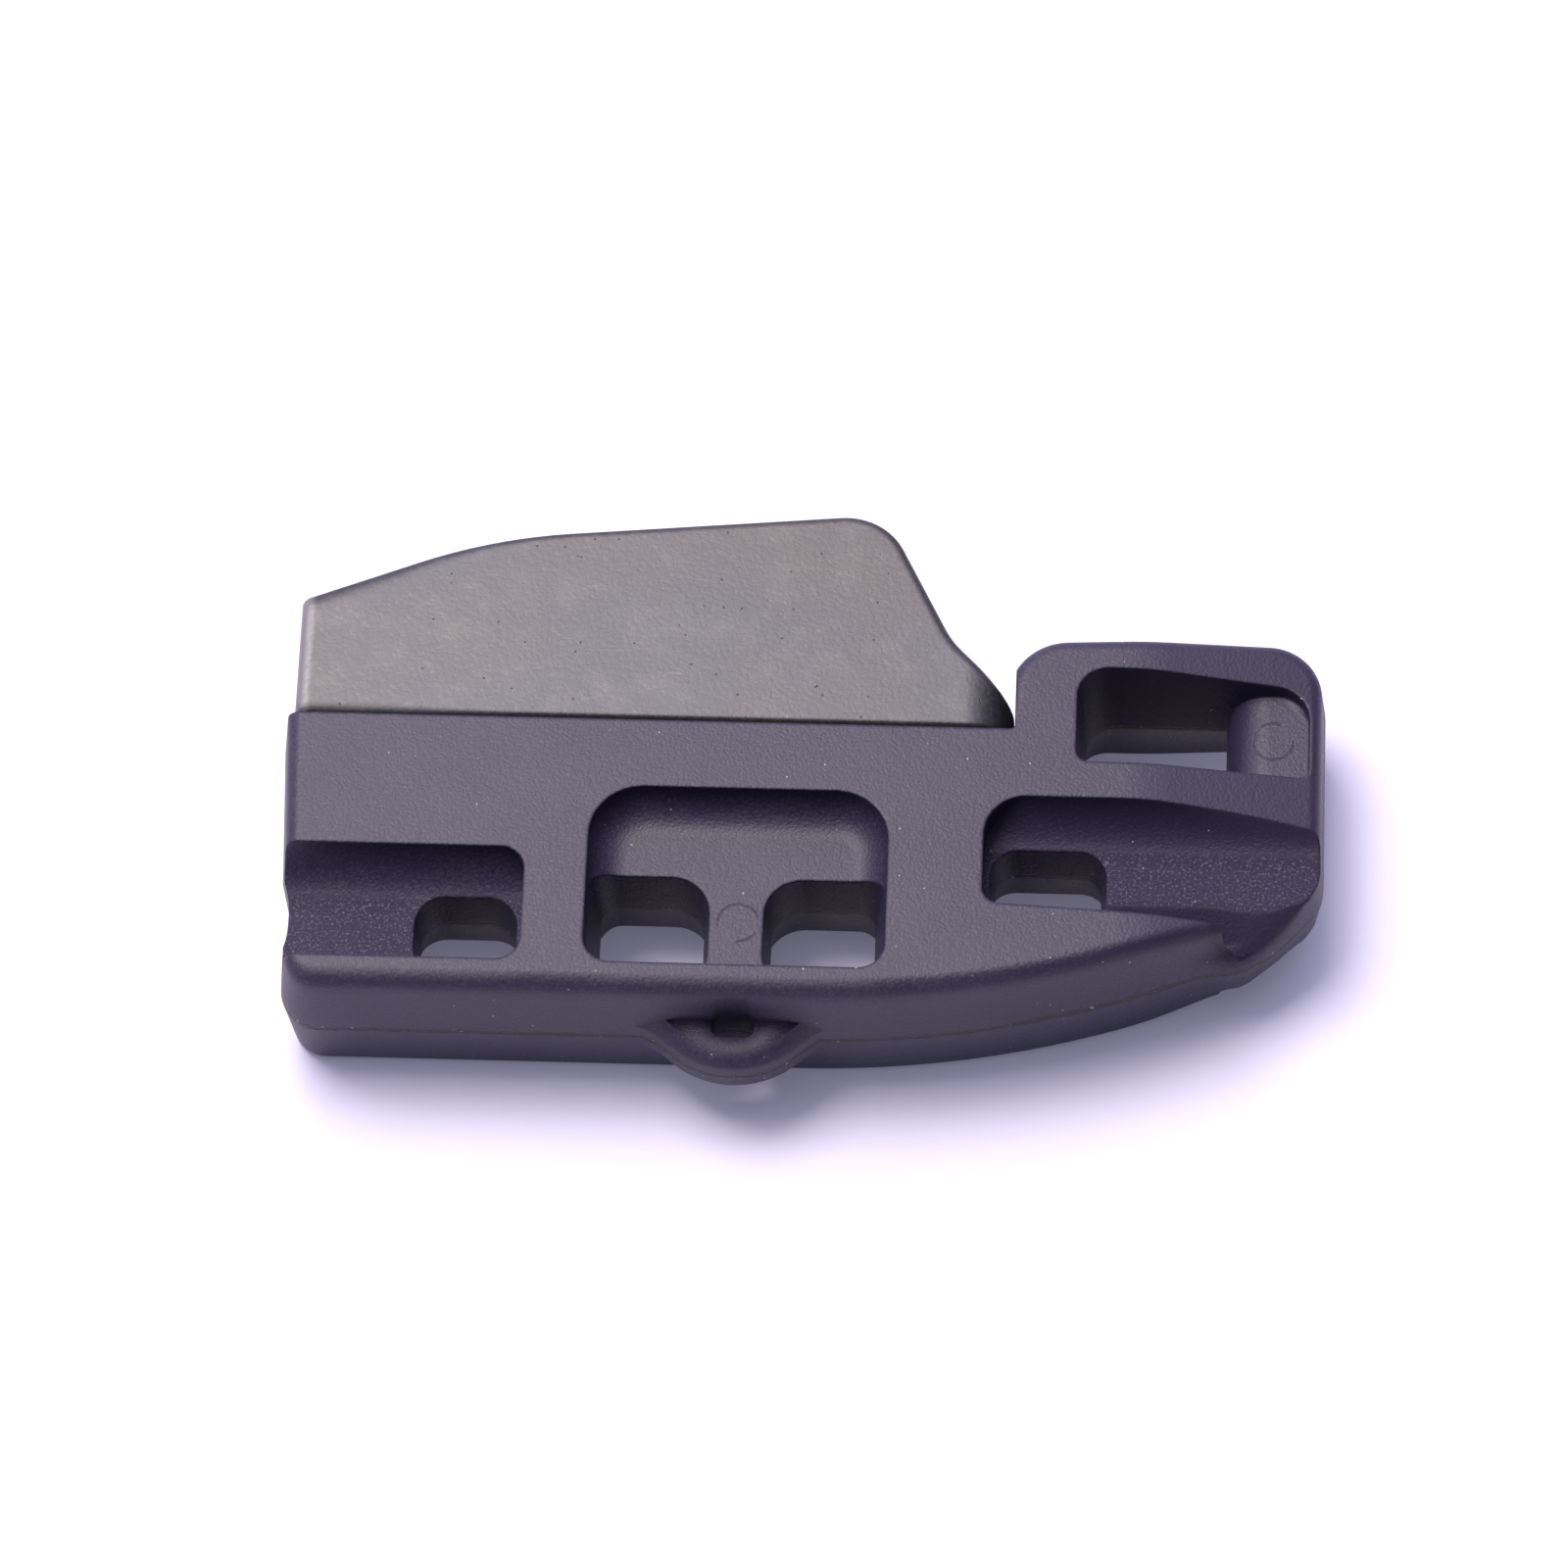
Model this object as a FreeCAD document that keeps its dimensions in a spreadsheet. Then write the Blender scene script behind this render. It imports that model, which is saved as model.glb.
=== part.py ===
import FreeCAD, Part
import math
import os
import re
import Sketcher

# An in-line jam cleat for rope: a serrated V channel of cast aluminium, held by two countersunk screws on
# the seat of a moulded nylon base. The base ends in a raised head with a fairlead slot.
# While it is modelled, X = 0 is the tail end of the cleat, Y = 0 is the seat that the cleat stands on and
# Z = 0 is the middle plane, which is the mould's parting plane. +X points to the nose and +Y to the cleat.
# All sizes are in millimetres and degrees. Places are measured from X = 0 or Y = 0 unless named otherwise.

os.makedirs("parts", exist_ok=True)
doc = FreeCAD.newDocument("jam_cleat")

SIZES = {
    # both pieces
    "thickness": 17.0,
    "seat_gap": 0.1,
    "reach_past": 8.0,
    # outline of the base at the parting plane
    "tail_overhang": 1.4,
    "tail_lean": 1.35,
    "base_depth": 28.2,
    "tail_corner": 3.8,
    "belly_setback": 29.2,
    "belly_radius": 94.0,
    "belly_rise": 12.1,
    "nose_radius": 7.2,
    "head_length": 28.7,
    "head_height": 11.5,
    "head_top_fall": 1.35,
    "head_front_corner": 5.2,
    "head_back_corner": 6.4,
    "head_back_overlap": 1.45,
    "seat_cover_gap": 1.0,
    "seat_cover_step": 0.5,
    "seat_cover_corner": 2.6,
    "side_draft": 6.0,
    "crown_radius": 1.4,
    "nose_taper_start": 16.7,
    "nose_taper": 10.0,
    "nose_taper_blend": 25.0,
    # pockets of the base
    "lower_rail": 3.4,
    "gutter_depth": 4.5,
    "cove_radius": 5.5,
    "cove_lean": 9.0,
    "hole_draft": 7.0,
    "hole_inset": 1.1,
    # tail slot
    "tail_slot_width": 11.45,
    "tail_slot_end": 22.0,
    "tail_slot_corner": 2.3,
    "tail_web_end": 12.4,
    "tail_hole_width": 6.5,
    "tail_hole_corner": 2.2,
    "tail_scoop_end": 0.4,
    "tail_scoop_low": 7.2,
    "tail_scoop_width": 3.6,
    "tail_scoop_flare": 17.0,
    "tail_scoop_round": 8.0,
    # middle window
    "window_centre": 41.4,
    "window_width": 27.4,
    "window_top": 6.85,
    "window_depth": 3.4,
    "window_cove": 3.3,
    "window_top_corner": 5.0,
    "window_low_corner": 2.5,
    "stem_width": 6.2,
    "bar_low": 15.05,
    "stem_corner": 3.0,
    "window_hole_corner": 1.5,
    # nose gutter
    "nose_gutter_lead": 2.55,
    "nose_gutter_top": 6.9,
    "nose_gutter_top_corner": 4.0,
    "nose_gutter_low_corner": 1.6,
    "nose_lip_height": 10.35,
    "nose_lip_fall": 1.1,
    "nose_lip_setback": 8.4,
    "nose_lip_round": 2.5,
    "nose_mouth_setback": 7.4,
    "nose_hole_reach": 8.3,
    "nose_hole_width": 5.8,
    "nose_hole_corner": 2.0,
    # fairlead slot in the head
    "head_slot_wall": 5.65,
    "head_slot_rim": 1.3,
    "head_slot_top": 6.6,
    "head_slot_low": 3.2,
    "head_slot_top_corner": 3.0,
    "head_slot_low_corner": 1.2,
    "head_slot_top_slope": 1.85,
    "head_slot_side_slope": 0.9,
    "head_slot_low_slope": 0.3,
    "head_web_width": 9.1,
    "head_web_depth": 3.6,
    "head_web_round": 3.8,
    # eyelet lug
    "lug_half_width": 8.0,
    "lug_peak": 6.5,
    "lug_tip_radius": 8.5,
    "lug_root_radius": 6.0,
    "lug_root_rise": 1.2,
    "lug_thickness": 6.0,
    "lug_edge_bevel": 1.2,
    "eyelet_drop": 0.25,
    "eyelet_length": 3.95,
    "eyelet_width": 2.2,
    # outline of the cleat, seen from the side and from above
    "cleat_length": 66.2,
    "cleat_tail_height": 11.95,
    "ramp_end": 17.4,
    "ramp_height": 19.0,
    "ramp_blend": 50.0,
    "crest_setback": 12.5,
    "crest_height": 22.4,
    "crest_radius": 6.0,
    "step_setback": 5.9,
    "step_height": 9.25,
    "step_radius": 9.0,
    "toe_height": 3.2,
    "cleat_tail_plan_corner": 1.0,
    "cleat_toe_plan_corner": 4.4,
    "cleat_rim_round": 0.8,
    "cleat_foot_bevel": 0.5,
    # rope channel of the cleat
    "channel_floor": 4.5,
    "channel_floor_width": 3.0,
    "channel_wall_lean": 13.5,
    "rib_slope": 40.0,
    "rib_pitch": 4.2,
    "groove_width": 3.5,
    "groove_peak": 2.3,
    "groove_depth": 1.0,
    # screws and their holes
    "rear_screw_place": 19.5,
    "screw_spacing": 27.0,
    "screw_head_width": 8.0,
    "screw_head_rim": 0.3,
    "screw_head_sink": 0.3,
    "screw_shank_width": 4.2,
    "screw_hole_width": 4.6,
    "screw_pocket_width": 8.9,
    "screw_length": 16.0,
    "screw_end_bevel": 0.7,
    "pilot_extra": 0.6,
    "cross_width": 4.4,
    "cross_slot": 1.1,
    "cross_depth": 1.6,
}

sheet = doc.addObject("Spreadsheet::Sheet", "Sizes")
for row, (alias, size) in enumerate(SIZES.items(), start=1):
    sheet.set("A%d" % row, alias)
    sheet.set("B%d" % row, "%g" % size)
    sheet.setAlias("B%d" % row, alias)
doc.recompute()


def bound(text):
    """Turn a formula written with the names of sizes into one that reads the sheet."""
    return re.sub(r"[a-z_]+", lambda m: "Sizes." + m.group() if m.group() in SIZES else m.group(), str(text))


def number(text):
    """Work out a formula written with the names of sizes."""
    return float(sheet.evalExpression(bound(text)))


def bind(thing, prop, text):
    """Tie a property to a formula written with the names of sizes."""
    thing.setExpression(prop, bound(text))


def new_body(name):
    return doc.addObject("PartDesign::Body", name)


def new_sketch(body, name, role, offset=None):
    """Start a sketch on a plane of the body's origin, or at a distance from it along its normal."""
    plane = [item for item in body.Origin.OriginFeatures if item.Role == role][0]
    sketch = body.newObject("Sketcher::SketchObject", name)
    sketch.AttachmentSupport = [(plane, "")]
    sketch.MapMode = "FlatFace"
    if offset is not None:
        bind(sketch, ".AttachmentOffset.Base.z", offset)
    return sketch


def hold(sketch, geometry, point, name, x, y):
    """Fix a point of a sketch by its two distances from the sketch's origin."""
    for axis, text in (("X", x), ("Y", y)):
        index = sketch.addConstraint(
            Sketcher.Constraint("Distance" + axis, -1, 1, geometry, point, number(text)))
        label = name + "_" + axis.lower()
        sketch.renameConstraint(index, label)
        bind(sketch, "Constraints." + label, text)


def outline(sketch, corners):
    """Draw a closed outline of straight sides. Each corner is x, y and the radius that rounds it off."""
    places = [FreeCAD.Vector(number(x), number(y), 0) for x, y, radius in corners]
    radii = [number(radius) for x, y, radius in corners]
    count = len(corners)
    arcs = {}
    enters = []
    leaves = []
    for i, here in enumerate(places):
        before = places[i - 1]
        after = places[(i + 1) % count]
        back = (before - here).normalize()
        ahead = (after - here).normalize()
        half = back.getAngle(ahead) / 2
        reach = radii[i] / math.tan(half)
        enters.append(here + back * reach)
        leaves.append(here + ahead * reach)
        if radii[i] > 0:
            centre = here + (back + ahead).normalize() * (radii[i] / math.sin(half))
            turns_left = back.cross(ahead).z < 0
            first, last = (enters[i], leaves[i]) if turns_left else (leaves[i], enters[i])
            spokes = [math.atan2(end.y - centre.y, end.x - centre.x) for end in (first, last)]
            circle = Part.Circle(centre, FreeCAD.Vector(0, 0, 1), radii[i])
            arcs[i] = (Part.ArcOfCircle(circle, spokes[0], spokes[1]), turns_left)
    sides = [sketch.addGeometry(Part.LineSegment(leaves[i], enters[(i + 1) % count])) for i in range(count)]
    for i, (x, y, radius) in enumerate(corners):
        name = "corner_%d" % i
        incoming = sides[i - 1]
        outgoing = sides[i]
        if i not in arcs:
            sketch.addConstraint(Sketcher.Constraint("Coincident", incoming, 2, outgoing, 1))
            hold(sketch, outgoing, 1, name, x, y)
            continue
        shape, turns_left = arcs[i]
        arc = sketch.addGeometry(shape)
        start, end = (1, 2) if turns_left else (2, 1)
        sketch.addConstraint(Sketcher.Constraint("Tangent", incoming, 2, arc, start))
        sketch.addConstraint(Sketcher.Constraint("Tangent", arc, end, outgoing, 1))
        tip = sketch.addGeometry(Part.Point(places[i]), True)
        sketch.addConstraint(Sketcher.Constraint("PointOnObject", tip, 1, incoming))
        sketch.addConstraint(Sketcher.Constraint("PointOnObject", tip, 1, outgoing))
        hold(sketch, tip, 1, name, x, y)
        index = sketch.addConstraint(Sketcher.Constraint("Radius", arc, radii[i]))
        sketch.renameConstraint(index, name + "_radius")
        bind(sketch, "Constraints." + name + "_radius", radius)


def extrude(body, kind, name, sketch, length, taper=None, flipped=False, centred=False):
    """Pad or pocket a sketch. A positive taper widens the extrusion away from the sketch."""
    feature = body.newObject("PartDesign::" + kind, name)
    feature.Profile = sketch
    feature.Reversed = flipped
    if centred:
        feature.SideType = "Symmetric"
    bind(feature, "Length", length)
    if taper is not None:
        bind(feature, "TaperAngle", taper)
    return feature


def prism(name, role, corners, length, offset=None, taper=None, flipped=False, centred=False):
    """Make a body of one pad, for use as a cutter or a limit."""
    body = new_body(name)
    sketch = new_sketch(body, name + "_sketch", role, offset)
    outline(sketch, corners)
    extrude(body, "Pad", name + "_pad", sketch, length, taper, flipped, centred)
    return body


def combine(kind, name, *things):
    """Join, intersect or cut whole pieces."""
    result = doc.addObject("Part::" + kind, name)
    if kind.startswith("Multi"):
        result.Shapes = list(things)
    else:
        result.Base, result.Tool = things
    return result


def faces_beside(shape, edge):
    return shape.ancestorsOfType(edge, Part.Face)


def normal_of(face):
    low_u, high_u, low_v, high_v = face.ParameterRange
    return face.normalAt((low_u + high_u) / 2, (low_v + high_v) / 2)


def soften(body, kind, name, wanted, size):
    """Fillet or chamfer the edges of a body's last feature that pass a test."""
    last = body.Tip
    edges = ["Edge%d" % (i + 1) for i, edge in enumerate(body.Shape.Edges) if wanted(edge)]
    feature = body.newObject("PartDesign::" + kind, name)
    feature.Base = (last, edges)
    bind(feature, {"Fillet": "Radius", "Chamfer": "Size"}[kind], size)


# Places that several features share
FACE = "thickness / 2"
SEAT_END = "(cleat_length + seat_gap)"
NOSE = "(cleat_length + seat_gap + head_length)"
BELLY = "(-base_depth)"
RAIL_TOP = "(lower_rail - base_depth)"
TAIL_PAST = "(-tail_overhang - reach_past)"
BASE_SPAN = "(base_depth + head_height + reach_past)"
SEAT_COVER = "(head_height - head_top_fall - head_back_corner - seat_cover_gap)"
SLOT_TOP = "(lower_rail - base_depth + tail_slot_width)"
SCOOP_LOW = "(tail_scoop_low - base_depth)"
NOSE_START = "(cleat_length + seat_gap - nose_gutter_lead)"
LIP = "(nose_lip_height - base_depth)"
WINDOW_LEFT = "(window_centre - window_width / 2)"
WINDOW_RIGHT = "(window_centre + window_width / 2)"
HEAD_TOP = "(channel_floor - screw_head_sink)"
CONE_TOP = "(channel_floor - screw_head_sink - screw_head_rim)"
SCREW_END = "(channel_floor - screw_head_sink - screw_length)"
REAR_SCREW = "rear_screw_place"
FRONT_SCREW = "(rear_screw_place + screw_spacing)"

# Blank of one half of the base: the outline rises from the parting plane with draft, its sides fall away
# towards the nose, and the edge of the flat side is rounded. The seat is cut afterwards, so the outline
# covers it with a little more, and that has round corners too to carry the rounding all the way round.
half = new_body("base_half")
blank_sketch = new_sketch(half, "blank_sketch", "XY_Plane")
outline(blank_sketch, [
    ("tail_lean - tail_overhang", BELLY, "tail_corner"),
    (NOSE + " - belly_setback", BELLY, "belly_radius"),
    (NOSE, BELLY + " + belly_rise", "nose_radius"),
    (NOSE, "head_height", "head_front_corner"),
    (SEAT_END + " - head_back_overlap", "head_height - head_top_fall", "head_back_corner"),
    (SEAT_END + " - head_back_overlap", SEAT_COVER, "seat_cover_step"),
    ("-tail_overhang - tail_lean * %s / base_depth" % SEAT_COVER, SEAT_COVER, "seat_cover_corner"),
])
extrude(half, "Pad", "blank", blank_sketch, FACE, "-side_draft")

taper_sketch = new_sketch(half, "nose_taper_sketch", "XZ_Plane")
outline(taper_sketch, [
    (NOSE + " - nose_taper_start - reach_past", FACE, 0),
    (NOSE + " - nose_taper_start", FACE, "nose_taper_blend"),
    (NOSE + " + reach_past", FACE + " - (nose_taper_start + reach_past) * tan(nose_taper)", 0),
    (NOSE + " + reach_past", FACE + " + reach_past", 0),
    (NOSE + " - nose_taper_start - reach_past", FACE + " + reach_past", 0),
])
extrude(half, "Pocket", "nose_taper_cut", taper_sketch, "2 * " + BASE_SPAN, centred=True)
doc.recompute()


def is_crown_edge(edge):
    """The crown edge has the flat side on one hand and a steep side face on the other."""
    steep, flat = sorted(abs(normal_of(face).z) for face in faces_beside(half.Shape, edge))
    return edge.BoundBox.ZMin > number("nose_taper_start / 10") and steep < 0.5 and flat > 0.9


soften(half, "Fillet", "crown", is_crown_edge, "crown_radius")

seat_sketch = new_sketch(half, "seat_sketch", "XY_Plane")
outline(seat_sketch, [
    (TAIL_PAST, 0, 0),
    (SEAT_END, 0, "cleat_foot_bevel - seat_gap"),
    (SEAT_END, "head_height + reach_past", 0),
    (TAIL_PAST, "head_height + reach_past", 0),
])
extrude(half, "Pocket", "seat", seat_sketch, "thickness", flipped=True)

# Eyelet lug: a thin tongue with bevelled edges at the parting plane, under the middle of the lower rail.
LUG_ROOT = BELLY + " + lug_thickness / 2 * tan(side_draft)"
lug = new_body("lug_half")
lug_sketch = new_sketch(lug, "lug_sketch", "XY_Plane")
outline(lug_sketch, [
    ("window_centre - lug_half_width - lug_root_radius", LUG_ROOT, 0),
    ("window_centre - lug_half_width", LUG_ROOT, "lug_root_radius"),
    ("window_centre", BELLY + " - lug_peak", "lug_tip_radius"),
    ("window_centre + lug_half_width", LUG_ROOT, "lug_root_radius"),
    ("window_centre + lug_half_width + lug_root_radius", LUG_ROOT + " + lug_root_rise", 0),
    ("window_centre + lug_half_width + lug_root_radius", RAIL_TOP, 0),
    ("window_centre - lug_half_width - lug_root_radius", RAIL_TOP, 0),
])
extrude(lug, "Pad", "lug_pad", lug_sketch, "lug_thickness / 2")
doc.recompute()


def is_lug_edge(edge):
    """The lug's upper outer edge, clear of the rail."""
    box = edge.BoundBox
    return box.ZMin > number("lug_thickness / 4") and box.YMin < number(BELLY)


soften(lug, "Chamfer", "lug_bevel", is_lug_edge, "lug_edge_bevel")


def gutter(name, corners, top, start, length):
    """Cutter for a gutter in the flat side: a plan outline, limited by its section from a start along X.

    The section has a leaning wall and a wide cove under the upper rim, and a flat floor.
    """
    plan = prism(name + "_plan", "XY_Plane", corners, "thickness")
    section = prism(name + "_section", "YZ_Plane", [
        (top + " + reach_past * tan(cove_lean)", FACE + " + reach_past", 0),
        (top + " - gutter_depth * tan(cove_lean)", FACE + " - gutter_depth", "cove_radius"),
        (BELLY + " - reach_past", FACE + " - gutter_depth", 0),
        (BELLY + " - reach_past", FACE + " + reach_past", 0),
    ], length, start)
    return combine("Common", name, plan, section)


def hole(name, left, right, top, low, radii):
    """Cutter for a through hole that widens from the parting plane to the flat side."""
    corners = [(left, top, radii[0]), (left, low, radii[1]), (right, low, radii[2]), (right, top, radii[3])]
    return prism(name, "XY_Plane", corners, FACE, taper="hole_draft")


# Tail slot: a gutter that runs out at the tail, with a hole through its web and a shallow scoop in the
# web's outer edge.
tail_slot = gutter("tail_slot", [
    ("tail_slot_end", SLOT_TOP, "tail_slot_corner"),
    ("tail_slot_end", RAIL_TOP, "tail_slot_corner"),
    (TAIL_PAST, RAIL_TOP, 0),
    (TAIL_PAST, SLOT_TOP, 0),
], SLOT_TOP, TAIL_PAST, "tail_slot_end + tail_overhang + 2 * reach_past")
tail_hole = hole("tail_hole", "tail_web_end", "tail_slot_end - hole_inset",
                 RAIL_TOP + " + hole_inset + tail_hole_width", RAIL_TOP + " + hole_inset",
                 ["tail_hole_corner"] * 4)
SCOOP_RUN = "(tail_scoop_end + tail_overhang + reach_past) / tan(tail_scoop_flare)"
tail_scoop = prism("tail_scoop", "XY_Plane", [
    (TAIL_PAST, "%s + tail_scoop_width + %s" % (SCOOP_LOW, SCOOP_RUN), 0),
    ("tail_scoop_end", SCOOP_LOW + " + tail_scoop_width", "tail_scoop_round"),
    ("tail_scoop_end", SCOOP_LOW, "tail_scoop_round"),
    (TAIL_PAST, "%s - %s" % (SCOOP_LOW, SCOOP_RUN), 0),
], FACE)

# Nose gutter: it starts under the seat's end. Its lower rim ends in a rounded lip, past which it runs out
# over the nose. Its web has a hole too.
nose_gutter = gutter("nose_gutter", [
    (NOSE_START, "-nose_gutter_top", "nose_gutter_top_corner"),
    (NOSE_START, LIP, "nose_gutter_low_corner"),
    (NOSE + " - nose_lip_setback", LIP + " - nose_lip_fall", "nose_lip_round"),
    (NOSE + " - nose_mouth_setback", BELLY + " - reach_past", 0),
    (NOSE + " + reach_past", BELLY + " - reach_past", 0),
    (NOSE + " + reach_past", "-nose_gutter_top", 0),
], "-nose_gutter_top", NOSE_START + " - reach_past", "head_length + nose_gutter_lead + 2 * reach_past")
nose_hole = hole("nose_hole", NOSE_START + " + hole_inset", SEAT_END + " + nose_hole_reach",
                 LIP + " + hole_inset + nose_hole_width", LIP + " + hole_inset", ["nose_hole_corner"] * 4)

# Middle window: a shallow pocket with a cove round three sides leaves a T-shaped web between two holes.
window_corners = [
    (WINDOW_LEFT, "-window_top", "window_top_corner"),
    (WINDOW_LEFT, RAIL_TOP, "window_low_corner"),
    (WINDOW_RIGHT, RAIL_TOP, "window_low_corner"),
    (WINDOW_RIGHT, "-window_top", "window_top_corner"),
]
window_plan = prism("window_plan", "XY_Plane", window_corners, "thickness")
window_floor = new_body("window_floor")
window_sketch = new_sketch(window_floor, "window_floor_sketch", "XY_Plane", FACE + " - window_depth")
outline(window_sketch, [
    (WINDOW_LEFT, "-window_top", "window_top_corner"),
    (WINDOW_LEFT, RAIL_TOP + " - reach_past", 0),
    (WINDOW_RIGHT, RAIL_TOP + " - reach_past", 0),
    (WINDOW_RIGHT, "-window_top", "window_top_corner"),
])
extrude(window_floor, "Pad", "window_floor_pad", window_sketch, "window_depth + reach_past")
doc.recompute()


def is_cove_edge(edge):
    """The floor's edges, but for the one past the lower rim."""
    box = edge.BoundBox
    return box.ZMax < number(FACE) and box.YMax > number(RAIL_TOP)


soften(window_floor, "Fillet", "window_cove_round", is_cove_edge, "window_cove")
window = combine("Common", "window", window_plan, window_floor)
left_hole = hole("left_window_hole", WINDOW_LEFT + " + hole_inset", "window_centre - stem_width / 2",
                 "-bar_low", RAIL_TOP + " + hole_inset",
                 ["window_hole_corner", "window_hole_corner", "window_hole_corner", "stem_corner"])
right_hole = hole("right_window_hole", "window_centre + stem_width / 2", WINDOW_RIGHT + " - hole_inset",
                  "-bar_low", RAIL_TOP + " + hole_inset",
                  ["stem_corner", "window_hole_corner", "window_hole_corner", "window_hole_corner"])

# Fairlead slot in the head: each wall has its own slope, and a round-edged web closes the nose end.
fairlead = new_body("fairlead_walls")
sections = []
for name, level, way in (("inner", None, "-"), ("outer", "thickness", "+")):
    section_sketch = new_sketch(fairlead, "fairlead_%s_sketch" % name, "XY_Plane", level)
    slot_left = SEAT_END + " + head_slot_wall - (0 %s head_slot_side_slope)" % way
    slot_right = NOSE + " - head_slot_rim + (0 %s head_slot_side_slope)" % way
    slot_top = "head_slot_top %s head_slot_top_slope" % way
    slot_low = "-head_slot_low - (0 %s head_slot_low_slope)" % way
    outline(section_sketch, [
        (slot_left, slot_top, "head_slot_top_corner"),
        (slot_left, slot_low, "head_slot_low_corner"),
        (slot_right, slot_low, "head_slot_low_corner"),
        (slot_right, slot_top, "head_slot_top_corner"),
    ])
    sections.append(section_sketch)
walls = fairlead.newObject("PartDesign::AdditiveLoft", "fairlead_loft")
walls.Profile = sections[0]
walls.Sections = sections[1:]
walls.Ruled = True
fairlead_side = prism("fairlead_side", "XZ_Plane", [
    (SEAT_END, "-reach_past", 0),
    (NOSE + " - head_web_width", "-reach_past", 0),
    (NOSE + " - head_web_width", FACE + " - head_web_depth", "head_web_round"),
    (NOSE + " + reach_past", FACE + " - head_web_depth", 0),
    (NOSE + " + reach_past", "thickness", 0),
    (SEAT_END, "thickness", 0),
], "2 * " + BASE_SPAN, centred=True)
fairlead_slot = combine("Common", "fairlead_slot", fairlead, fairlead_side)

# The eyelet is a long hole with round ends through the lug, close against the lower rail.
EYELET_RISE = BELLY + " - eyelet_drop + eyelet_width / 2"
EYELET_FALL = BELLY + " - eyelet_drop - eyelet_width / 2"
eyelet = prism("eyelet", "XY_Plane", [
    ("window_centre - eyelet_length / 2", EYELET_FALL, "0.45 * eyelet_width"),
    ("window_centre + eyelet_length / 2", EYELET_FALL, "0.45 * eyelet_width"),
    ("window_centre + eyelet_length / 2", EYELET_RISE, "0.45 * eyelet_width"),
    ("window_centre - eyelet_length / 2", EYELET_RISE, "0.45 * eyelet_width"),
], FACE)

solid_half = combine("Fuse", "solid_half", half, lug)
cutters = combine("MultiFuse", "base_cutters", tail_slot, tail_hole, tail_scoop, nose_gutter, nose_hole,
                  window, left_hole, right_hole, fairlead_slot, eyelet)
open_half = combine("Cut", "open_half", solid_half, cutters)

# The other half is the same, mirrored at the parting plane.
other_half = doc.addObject("Part::Mirroring", "other_half")
other_half.Source = open_half
other_half.Normal = FreeCAD.Vector(0, 0, 1)
both_halves = combine("Fuse", "both_halves", open_half, other_half)
both_halves.Refine = True


def turned(name, place, corners):
    """Make a body by turning an outline of radius and height about an upright line at a place along X."""
    body = new_body(name)
    sketch = new_sketch(body, name + "_sketch", "XY_Plane")
    outline(sketch, [("%s + (%s)" % (place, x), y, radius) for x, y, radius in corners])
    revolution = body.newObject("PartDesign::Revolution", name + "_turn")
    revolution.Profile = sketch
    revolution.ReferenceAxis = (sketch, ["Edge%d" % len(corners)])
    revolution.Angle = 360
    return body


PILOT_END = SCREW_END + " - pilot_extra"
pilots = []
for name, place in (("rear", REAR_SCREW), ("front", FRONT_SCREW)):
    pilots.append(turned(name + "_pilot", place, [
        (0, PILOT_END, 0),
        ("screw_shank_width / 2", PILOT_END, 0),
        ("screw_shank_width / 2", "reach_past", 0),
        (0, "reach_past", 0),
    ]))
pilot_holes = combine("MultiFuse", "pilot_holes", *pilots)
base_moulding = combine("Cut", "base_moulding", both_halves, pilot_holes)

# Cleat: the plan outline rises from the seat, and its upper side is cut to the ramp, the crest and the
# slope down to the toe.
cleat = new_body("cleat_body")
plan_sketch = new_sketch(cleat, "cleat_plan_sketch", "XZ_Plane")
outline(plan_sketch, [
    (0, "-" + FACE, "cleat_tail_plan_corner"),
    ("cleat_length", "-" + FACE, "cleat_toe_plan_corner"),
    ("cleat_length", FACE, "cleat_toe_plan_corner"),
    (0, FACE, "cleat_tail_plan_corner"),
])
extrude(cleat, "Pad", "cleat_blank", plan_sketch, "crest_height", flipped=True)
side_sketch = new_sketch(cleat, "cleat_side_sketch", "XY_Plane")
TAIL_RISE = "(ramp_height - cleat_tail_height) / ramp_end"
TOE_RISE = "(step_height - toe_height) / step_setback"
outline(side_sketch, [
    ("-reach_past", "cleat_tail_height - reach_past * " + TAIL_RISE, 0),
    ("ramp_end", "ramp_height", "ramp_blend"),
    ("cleat_length - crest_setback", "crest_height", "crest_radius"),
    ("cleat_length - step_setback", "step_height", "step_radius"),
    ("cleat_length + reach_past", "toe_height - reach_past * " + TOE_RISE, 0),
    ("cleat_length + reach_past", "crest_height + reach_past", 0),
    ("-reach_past", "crest_height + reach_past", 0),
])
extrude(cleat, "Pocket", "cleat_profile", side_sketch, "2 * thickness", centred=True)

# Rope channel: open at both ends, with a flat floor and leaning walls.
channel_sketch = new_sketch(cleat, "channel_sketch", "YZ_Plane", "-reach_past")
MOUTH = "(channel_floor_width / 2 + (crest_height + reach_past - channel_floor) * tan(channel_wall_lean))"
outline(channel_sketch, [
    ("channel_floor", "-channel_floor_width / 2", 0),
    ("channel_floor", "channel_floor_width / 2", 0),
    ("crest_height + reach_past", MOUTH, 0),
    ("crest_height + reach_past", "-" + MOUTH, 0),
])
extrude(cleat, "Pocket", "channel", channel_sketch, "cleat_length + 2 * reach_past", flipped=True)
doc.recompute()


def is_outer_rim(edge):
    """The rim's outer edge, between an upright wall and the upper side, but not the channel's floor."""
    lower, upper = sorted(faces_beside(cleat.Shape, edge), key=lambda face: normal_of(face).y)
    on_floor = abs(upper.CenterOfMass.y - number("channel_floor")) < number("seat_gap")
    return abs(normal_of(lower).y) < 0.1 and normal_of(upper).y > 0.3 and not on_floor


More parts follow.
